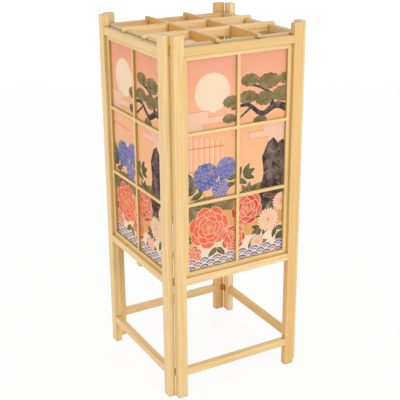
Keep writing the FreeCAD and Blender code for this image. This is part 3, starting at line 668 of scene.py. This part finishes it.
HYDRANGEAS = (
    ((-64, 182), 26, "blue", ("violet", "blue"), 3),
    ((-22, 192), 21, "violet", ("blue", "violet"), 5),
    ((-34, 154), 18, "blue", ("violet", "lilac"), 8),
)
PEONY_LEAVES = (
    ((-78, 70), 160, 52), ((-40, 48), 265, 46), ((0, 84), 20, 50), ((20, 110), 80, 46), ((-60, 104), 120, 44),
    ((24, 40), 330, 48), ((-96, 96), 120, 40), ((40, 88), 10, 44),
)
PEONIES = (
    ((-58, 84), 43, ("vermilion", "vermilion"), 10),
    ((22, 106), 35, ("vermilion", "red"), 35),
    ((-6, 52), 27, ("red", "vermilion"), 0),
    ((-92, 36), 20, ("vermilion", "red"), 20),
)
CHRYSANTHEMUM_LEAVES = (((72, 66), 200), ((84, 60), 300), ((96, 96), 60))
CHRYSANTHEMUMS = (((70, 74), 25, 20), ((98, 106), 20, 20), ((46, 34), 15, 16))
WAVES_FOOT, WAVE_ROWS, WAVE_RADIUS = -4, 4, 13.5


def print_shapes():
    """The whole picture, the furthest shape first."""
    shapes = [("cream", oval(MOON_AT, MOON_RADIUS, MOON_RADIUS, count=60))]
    for i in range(FENCE_CANES):
        x, shade, top = FENCE_LEFT + FENCE_PITCH * i, FENCE_SHADE_OFFSET, FENCE_TOP - FENCE_DROP * i
        shapes.append(("blush", stroke([(x, FENCE_FOOT), (x, top)], CANE_WIDTH, CANE_WIDTH, 2)))
        shapes.append(("orange", stroke([(x + shade, FENCE_FOOT), (x + shade, top)], CANE_LINE, CANE_LINE, 2)))
    shapes += [("orange", stroke(ends, RAIL_WIDTH, RAIL_WIDTH, 2)) for ends in FENCE_RAILS]
    for low, bars in MISTS:
        shapes += mist(low, bars, "blush", "orange")
    shapes += [(ink, stroke(points, start, end)) for ink, points, start, end in BANKS]
    shapes += ROCKS
    shapes += [("orange", stroke(points, 1.0, 0.5)) for points in ROCK_SEAMS]
    shapes += [(ink, stroke(points, start, end)) for ink, points, start, end in PINE_BOUGHS]
    for at, radius in PINE_CUSHIONS:
        shapes += pine_cushion(at, radius, "olive", "green")
    for at, tilt in HYDRANGEA_LEAVES:
        shapes += sprig(at, tilt, HYDRANGEA_SPRIG, "green", "olive")
    for at, radius, fill, florets, seed in HYDRANGEAS:
        shapes += hydrangea(at, radius, fill, florets, "cream", seed)
    for at, tilt, length in PEONY_LEAVES:
        shapes += sprig(at, tilt, length, "green", "gold")
    for at, radius, fill, turn in PEONIES:
        shapes += peony(at, radius, fill, "blush", "gold", turn)
    for at, tilt in CHRYSANTHEMUM_LEAVES:
        shapes += sprig(at, tilt, CHRYSANTHEMUM_SPRIG, "green", "olive")
    for at, radius, number in CHRYSANTHEMUMS:
        shapes += chrysanthemum(at, radius, "cream", "orange", "gold", number)
    return shapes + waves(WAVES_FOOT, WAVE_ROWS, WAVE_RADIUS)


# Pieces


def new_piece(name, mesh, materials, body, replaced=()):
    """A finished piece at the origin, on its body, with its materials."""
    for material in materials:
        mesh.materials.append(material)
    piece = bpy.data.objects.new(name, mesh)
    bpy.context.scene.collection.objects.link(piece)
    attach(piece, body)
    if replaced:
        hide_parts(*replaced)


WELD = 1e-4  # mm within which two points of the print are one
FILL_THE_OUTLINES = 1  # what the cut is to keep: all that lies inside an outline


def print_partition():
    """The print cut along its outlines: flat points, and each triangle with the ink on top of it."""
    half = PRINT_WIDTH / 2
    sheet = [(-half, 0), (half, 0), (half, PRINT_HEIGHT), (-half, PRINT_HEIGHT)]
    shapes = [("ground", sheet), *print_shapes()]
    points, outlines = [], []
    for _, outline in shapes:
        turning = sum(a[0] * b[1] - a[1] * b[0] for a, b in zip(outline, outline[1:] + outline[:1]))
        first = len(points)
        points += outline if turning > 0 else outline[::-1]
        outlines.append(list(range(first, len(points))))
    cut = delaunay_2d_cdt([Vector(p) for p in points], [], outlines, FILL_THE_OUTLINES, WELD)
    flat, triangles, lies_on = cut[0], cut[2], cut[5]
    return flat, [(face, shapes[max(under)][0]) for face, under in zip(triangles, lies_on) if 0 in under]


FLAT_ANGLE = 1.0  # degrees: faces of one ink that meet flatter than this are joined
FRONT_DEPTH = 1e-6  # metres behind the sheet's front, from where it is bare


def paper_mesh(name, flat, faces, inks, turn):
    """A printed sheet in a panel's sash: its front carries the print, its back and edges are bare."""
    mesh = bmesh.new()
    corners = {}
    for face, ink in faces:
        for i in face:
            if i not in corners:
                corners[i] = mesh.verts.new((flat[i].x * MM, PAPER_LOW.y, PAPER_LOW.z + flat[i].y * MM))
        mesh.faces.new([corners[i] for i in face]).material_index = inks.index(ink)
    bmesh.ops.dissolve_limit(
        mesh, angle_limit=math.radians(FLAT_ANGLE), verts=mesh.verts[:], edges=mesh.edges[:], delimit={"MATERIAL"}
    )
    bmesh.ops.triangulate(mesh, faces=mesh.faces[:])
    rim = bmesh.ops.extrude_edge_only(mesh, edges=[e for e in mesh.edges if e.is_boundary])["geom"]
    for vert in (v for v in rim if isinstance(v, bmesh.types.BMVert)):
        vert.co.y = PAPER_HIGH.y
    bmesh.ops.holes_fill(mesh, edges=[e for e in mesh.edges if e.is_boundary], sides=0)
    for face in mesh.faces:
        if face.calc_center_median().y > PAPER_LOW.y + FRONT_DEPTH:
            face.material_index = inks.index("bare")
    bmesh.ops.recalc_face_normals(mesh, faces=mesh.faces[:])
    bmesh.ops.rotate(mesh, verts=mesh.verts[:], matrix=Matrix.Rotation(math.radians(turn), 3, "Z"))
    data = bpy.data.meshes.new(name)
    mesh.to_mesh(data)
    mesh.free()
    return data


def lathe(name, profile, steps, reach):
    """A closed turned mesh about the lamp's own axis, from its foot to its top.

    Each point of the profile is (height, radius, material), and reach says how far the surface stands out there.
    """
    mesh = bmesh.new()
    rings = []
    for height, radius, _ in profile:
        ring = []
        for i in range(steps):
            turn = 2 * math.pi * i / steps
            r = radius + reach(height, turn)
            ring.append(mesh.verts.new((r * MM * math.cos(turn), r * MM * math.sin(turn), height * MM)))
        rings.append(ring)
    for (_, _, finish), lower, upper in zip(profile, rings, rings[1:]):
        for i in range(steps):
            j = (i + 1) % steps
            mesh.faces.new((lower[i], lower[j], upper[j], upper[i])).material_index = finish
    for ring, finish in ((rings[0], profile[0][2]), (rings[-1], profile[-1][2])):
        mesh.faces.new(ring).material_index = finish
    bmesh.ops.recalc_face_normals(mesh, faces=mesh.faces[:])
    for face in mesh.faces:
        face.smooth = len(face.verts) == 4
    data = bpy.data.meshes.new(name)
    mesh.to_mesh(data)
    mesh.free()
    return data


BARREL, INSULATOR, SOLDER = 0, 1, 2
CAP_FOOT = (  # height above the cap's foot, radius, finish
    (0.0, 2.0, SOLDER), (0.1, 3.6, SOLDER), (0.9, 4.4, INSULATOR), (1.1, 5.2, INSULATOR), (3.6, 11.2, INSULATOR),
)
BARREL_RISE, BARREL_LIP_RADIUS = 4.6, 11.5
CAP_STEPS, ROW_HEIGHT = 48, 0.4
THREAD_PITCH, THREAD_DEPTH = 3.6, 0.9
THREAD_RUN_IN, THREAD_RUN_OUT = 2.5, 4.5  # the thread rises from the barrel's foot and fades towards its top
THREAD_SINK = 0.4  # share of half its depth by which the bare barrel lies lower


def threaded_cap():
    """The rolled screw cap of the bulb, with its black glass foot and its solder tip."""
    low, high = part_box("bulb_cap")
    foot, top, widest = low.z / MM, high.z / MM, high.x / MM
    barrel = foot + BARREL_RISE
    rows = int((top - barrel) / ROW_HEIGHT)
    profile = [(foot + rise, radius, finish) for rise, radius, finish in CAP_FOOT]
    profile += [(barrel - 0.6, BARREL_LIP_RADIUS, BARREL), (barrel - 0.2, widest - THREAD_DEPTH, BARREL)]
    for i in range(rows + 1):
        profile.append((barrel + (top - barrel) * i / rows, widest - THREAD_DEPTH / 2, BARREL))

    def thread(height, turn):
        if height < barrel:
            return 0.0
        fade = min(1.0, (height - barrel) / THREAD_RUN_IN, (top - height) / THREAD_RUN_OUT)
        wave = math.cos(2 * math.pi * (height - barrel) / THREAD_PITCH - turn)
        return THREAD_DEPTH / 2 * (wave * fade - (1 - fade) * THREAD_SINK)

    finishes = [
        rolled_metal("aluminium_rolled_cap", "#D8D8D4", "#B4B3AE"),
        pressed_black_glass("glass_pressed_black"),
        rolled_metal("tin_solder", "#C9C8C2", "#9C9B96"),
    ]
    mesh = lathe("threaded_bulb_cap", profile, CAP_STEPS, thread)
    new_piece("threaded_bulb_cap", mesh, finishes, "bulb", ["bulb_cap"])


def rib_tree():
    """Upright round ribs in a ring, as an instance of one rib on each point of a circle."""
    tree = bpy.data.node_groups.new("grip_ribs", "GeometryNodeTree")
    tree.interface.new_socket("Geometry", in_out="OUTPUT", socket_type="NodeSocketGeometry")
    for name, kind in (
        ("Number", "Int"), ("Rib Faces", "Int"), ("Ring Radius", "Float"), ("Rib Radius", "Float"),
        ("Rib Height", "Float"), ("Middle Height", "Float"), ("Finish", "Material"),
    ):
        tree.interface.new_socket(name, in_out="INPUT", socket_type="NodeSocket" + kind)
    given = add(tree, "NodeGroupInput").outputs
    ring = {"Vertices": given["Number"], "Radius": given["Ring Radius"]}
    ring = add(tree, "GeometryNodeMeshCircle", inputs=ring).outputs[0]
    rib = {"Vertices": given["Rib Faces"], "Radius": given["Rib Radius"], "Depth": given["Rib Height"]}
    rib = add(tree, "GeometryNodeMeshCylinder", inputs=rib).outputs[0]
    lift = add(tree, "ShaderNodeCombineXYZ", inputs={"Z": given["Middle Height"]}).outputs[0]
    ribs = add(tree, "GeometryNodeInstanceOnPoints", inputs={"Points": ring, "Instance": rib}).outputs[0]
    raised = add(tree, "GeometryNodeTransform", inputs={"Geometry": ribs, "Translation": lift}).outputs[0]
    solid = add(tree, "GeometryNodeRealizeInstances", inputs=[raised]).outputs[0]
    finished = add(tree, "GeometryNodeSetMaterial", inputs={"Geometry": solid, "Material": given["Finish"]})
    add(tree, "NodeGroupOutput", inputs=[finished.outputs[0]])
    return tree


def grown_mesh(name, tree, values):
    """The plain mesh that a tree of Geometry Nodes makes with these values for its named inputs."""
    holder = bpy.data.objects.new(name, bpy.data.meshes.new(name + "_seed"))
    bpy.context.scene.collection.objects.link(holder)
    modifier = holder.modifiers.new(name, "NODES")
    modifier.node_group = tree
    for item in tree.interface.items_tree:
        if item.item_type == "SOCKET" and item.in_out == "INPUT":
            modifier[item.identifier] = values[item.name]
    bpy.context.view_layer.update()
    evaluated = holder.evaluated_get(bpy.context.evaluated_depsgraph_get())
    mesh = bpy.data.meshes.new_from_object(evaluated)
    mesh.name = name
    holder.modifiers.remove(modifier)
    bpy.data.objects.remove(holder)
    return mesh


FLANGE_HEIGHT, HOLDER_RADIUS = 4.0, 18.0
RIBS, RIB_FACES, RIB_RADIUS, RIB_HEIGHT = 40, 8, 0.7, 24.0


def grip_ribs(finish):
    """Ribs moulded round the lamp holder's barrel, for the fingers."""
    low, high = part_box("lamp_holder")
    mesh = grown_mesh(
        "lamp_holder_ribs", rib_tree(),
        {
            "Number": RIBS, "Rib Faces": RIB_FACES, "Ring Radius": HOLDER_RADIUS * MM,
            "Rib Radius": RIB_RADIUS * MM, "Rib Height": RIB_HEIGHT * MM,
            "Middle Height": (low.z + FLANGE_HEIGHT * MM + high.z) / 2, "Finish": finish,
        },
    )
    new_piece("lamp_holder_ribs", mesh, [], "lamp_bar")


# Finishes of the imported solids


def dress(node, material):
    """The node's own mesh stays, and every one of its material slots gets this finish."""
    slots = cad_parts[node].material_slots
    if not slots:
        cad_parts[node].data.materials.append(material)
    for slot in slots:
        slot.material = material


# The posts and rails are sawn from several boards, and some boards are paler or more golden than the rest.
GOLDEN_BOARDS = ("front_right_right_post", "front_right_top_rail", "rear_left_left_post", "rear_right_stretcher")
PALE_BOARDS = ("front_right_bottom_rail", "front_left_bottom_rail", "rear_right_right_post", "rear_left_top_rail")
POSTS, RAILS = ("left_post", "right_post"), ("top_rail", "bottom_rail", "stretcher")
STILE_OVERLAP = 0.5  # by which the grain of the stiles starts inside the muntins' ends
UPRIGHT_MUNTIN_HALF = 3.2  # half the upright muntin's width, and a little more
LATTICE_HONEY = 0.2  # the lattice bars are cut from one board, and differ less along it


def dress_woods():
    stiles_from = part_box("front_right_muntins")[1].x - STILE_OVERLAP * MM
    planed = {(a, t): spruce(f"spruce_{t}_along_{a}", a, t) for a in "xyz" for t in ("straw", "golden", "pale")}
    board_tones = {name: "golden" for name in GOLDEN_BOARDS} | {name: "pale" for name in PALE_BOARDS}
    for side, turn in PANELS.items():
        level = "x" if turn % 180 == 0 else "y"
        for part in (*POSTS, *RAILS):
            node = f"{side}_{part}"
            dress(node, planed["z" if part in POSTS else level, board_tones.get(node, "straw")])
    for along, out, sides in (("x", "y", ("front_right", "rear_left")), ("y", "x", ("rear_right", "front_left"))):
        stiles, level_bars = beyond(along, stiles_from), beyond(along, UPRIGHT_MUNTIN_HALF * MM)
        # faced gives the sides of the sash and muntin bars their painted shade
        sash = spruce(f"spruce_sash_along_{along}", along, "sash", "z", stiles, faced=out)
        bars = spruce(f"spruce_muntins_along_{along}", "z", "sash", along, level_bars, faced=out)
        for side in sides:
            dress(f"{side}_sash_frame", sash)
            dress(f"{side}_muntins", bars)
    dress("lamp_bar", planed["x", "straw"])
    dress("lid_slats", spruce("spruce_lid_slats", "x", "straw", "y", side_slats))
    # one lattice board in two tones: painted light on the bars along X, painted shade on the bars along Y
    dress("lid_lower_bars", spruce("spruce_lid_bars_along_x_painted_light", "x", "cream", honeyed=LATTICE_HONEY))
    dress("lid_upper_bars", spruce("spruce_lid_bars_along_y_painted_shade", "y", "shaded_amber", honeyed=LATTICE_HONEY))


def dress_fittings():
    stamped = aged_brass("brass_stamped_aged")
    lathed = aged_brass("brass_turned_aged", "#C79C56", "#93703C", 1.5)
    for side in PANELS:
        for part in ("left_leaves", "right_leaves"):
            dress(f"{side}_{part}", stamped)
        for part in ("hinge_pins", "wood_screws"):
            dress(f"{side}_{part}", lathed)
    for node in ("front_left_hanger", "rear_right_hanger"):
        dress(node, stamped)
    for node in ("lamp_bar_rivets", "holder_screws"):
        dress(node, lathed)
    urea = moulded_urea("urea_moulded_white")
    dress("lamp_holder", urea)
    dress("holder_contact", rolled_metal("brass_spring_sheet", "#D9B866", "#B8923F"))
    dress("bulb_glass", opal_glass("glass_opal_blown"))
    grip_ribs(urea)


def hang_papers():
    flat, faces = print_partition()
    inks = ["bare", "ground", *INKS]
    finishes = [mulberry_paper(f"paper_mulberry_{ink}", ink) for ink in inks]
    for side, turn in PANELS.items():
        mesh = paper_mesh(f"{side}_printed_paper", flat, faces, inks, turn)
        new_piece(f"{side}_printed_paper", mesh, finishes, f"{side}_panel", [f"{side}_paper"])


dress_woods()
dress_fittings()
threaded_cap()
hang_papers()


# Studio

WHITE = (1, 1, 1, 1)
FLOOR_GREY = (0.9, 0.9, 0.9, 1)
FLOOR_REACH = 14.0  # metres to each side
FLOOR_GLOW = 0.9  # share of white light in what the camera sees of the floor; the rest takes the shadow
LANTERN_MIDDLE = Vector((0, 0, 0.35))


def seen_directly(tree):
    """1 for what the camera sees, also in a reflection or through glass, and 0 for all other light."""
    rays = add(tree, "ShaderNodeLightPath").outputs
    seen = [rays["Is Camera Ray"], rays["Is Glossy Ray"]]
    seen = add(tree, "ShaderNodeMath", {"operation": "MAXIMUM"}, seen).outputs[0]
    return add(tree, "ShaderNodeMath", {"operation": "MAXIMUM"}, [seen, rays["Is Transmission Ray"]]).outputs[0]


def studio_floor():
    """A wide pale floor: nearly white to the camera, with the lamp's soft shadow on it."""
    mesh = bpy.data.meshes.new("studio_floor")
    corners = [(x * FLOOR_REACH, y * FLOOR_REACH, 0) for x, y in ((-1, -1), (1, -1), (1, 1), (-1, 1))]
    mesh.from_pydata(corners, [], [(0, 1, 2, 3)])
    material, tree = new_material("studio_floor_white")
    board = add(tree, "ShaderNodeBsdfDiffuse", inputs={"Color": FLOOR_GREY})
    glow = add(tree, "ShaderNodeEmission", inputs={"Color": WHITE, "Strength": 1.0})
    share = add(tree, "ShaderNodeMath", {"operation": "MULTIPLY"}, [seen_directly(tree), FLOOR_GLOW])
    mixed = add(tree, "ShaderNodeMixShader", inputs=[share.outputs[0], board.outputs[0], glow.outputs[0]])
    finish_material(tree, mixed.outputs[0])
    mesh.materials.append(material)
    floor = bpy.data.objects.new("studio_floor", mesh)
    bpy.context.scene.collection.objects.link(floor)


def studio_world(ambient):
    """White where the camera and reflections look, and an even soft light for everything else."""
    world = bpy.data.worlds.new("studio_world")
    world.use_nodes = True
    tree = world.node_tree
    tree.nodes.clear()
    soft, white = (
        add(tree, "ShaderNodeBackground", inputs={"Color": WHITE, "Strength": strength}).outputs[0]
        for strength in (ambient, 1.0)
    )
    mixed = add(tree, "ShaderNodeMixShader", inputs=[seen_directly(tree), soft, white])
    add(tree, "ShaderNodeOutputWorld", inputs={"Surface": mixed.outputs[0]})
    bpy.context.scene.world = world


def soft_box(name, place, size, watts):
    """A square lamp that faces the middle of the lantern."""
    data = bpy.data.lights.new(name, "AREA")
    data.shape, data.size, data.energy = "SQUARE", size, watts
    lamp = bpy.data.objects.new(name, data)
    place = Vector(place)
    facing = (LANTERN_MIDDLE - place).to_track_quat("-Z", "Y").to_matrix().to_4x4()
    lamp.matrix_world = Matrix.Translation(place) @ facing
    bpy.context.scene.collection.objects.link(lamp)
    return lamp


studio_floor()
studio_world(ambient=0.8)
soft_box("key_box", place=(0.6, -2.7, 1.4), size=1.3, watts=26)
soft_box("fill_box", place=(-2.7, 0.0, 0.6), size=1.4, watts=14)
soft_box("back_box", place=(3.0, 5.6, 0.6), size=1.1, watts=260).visible_glossy = False
bpy.context.scene.view_settings.view_transform = "Standard"
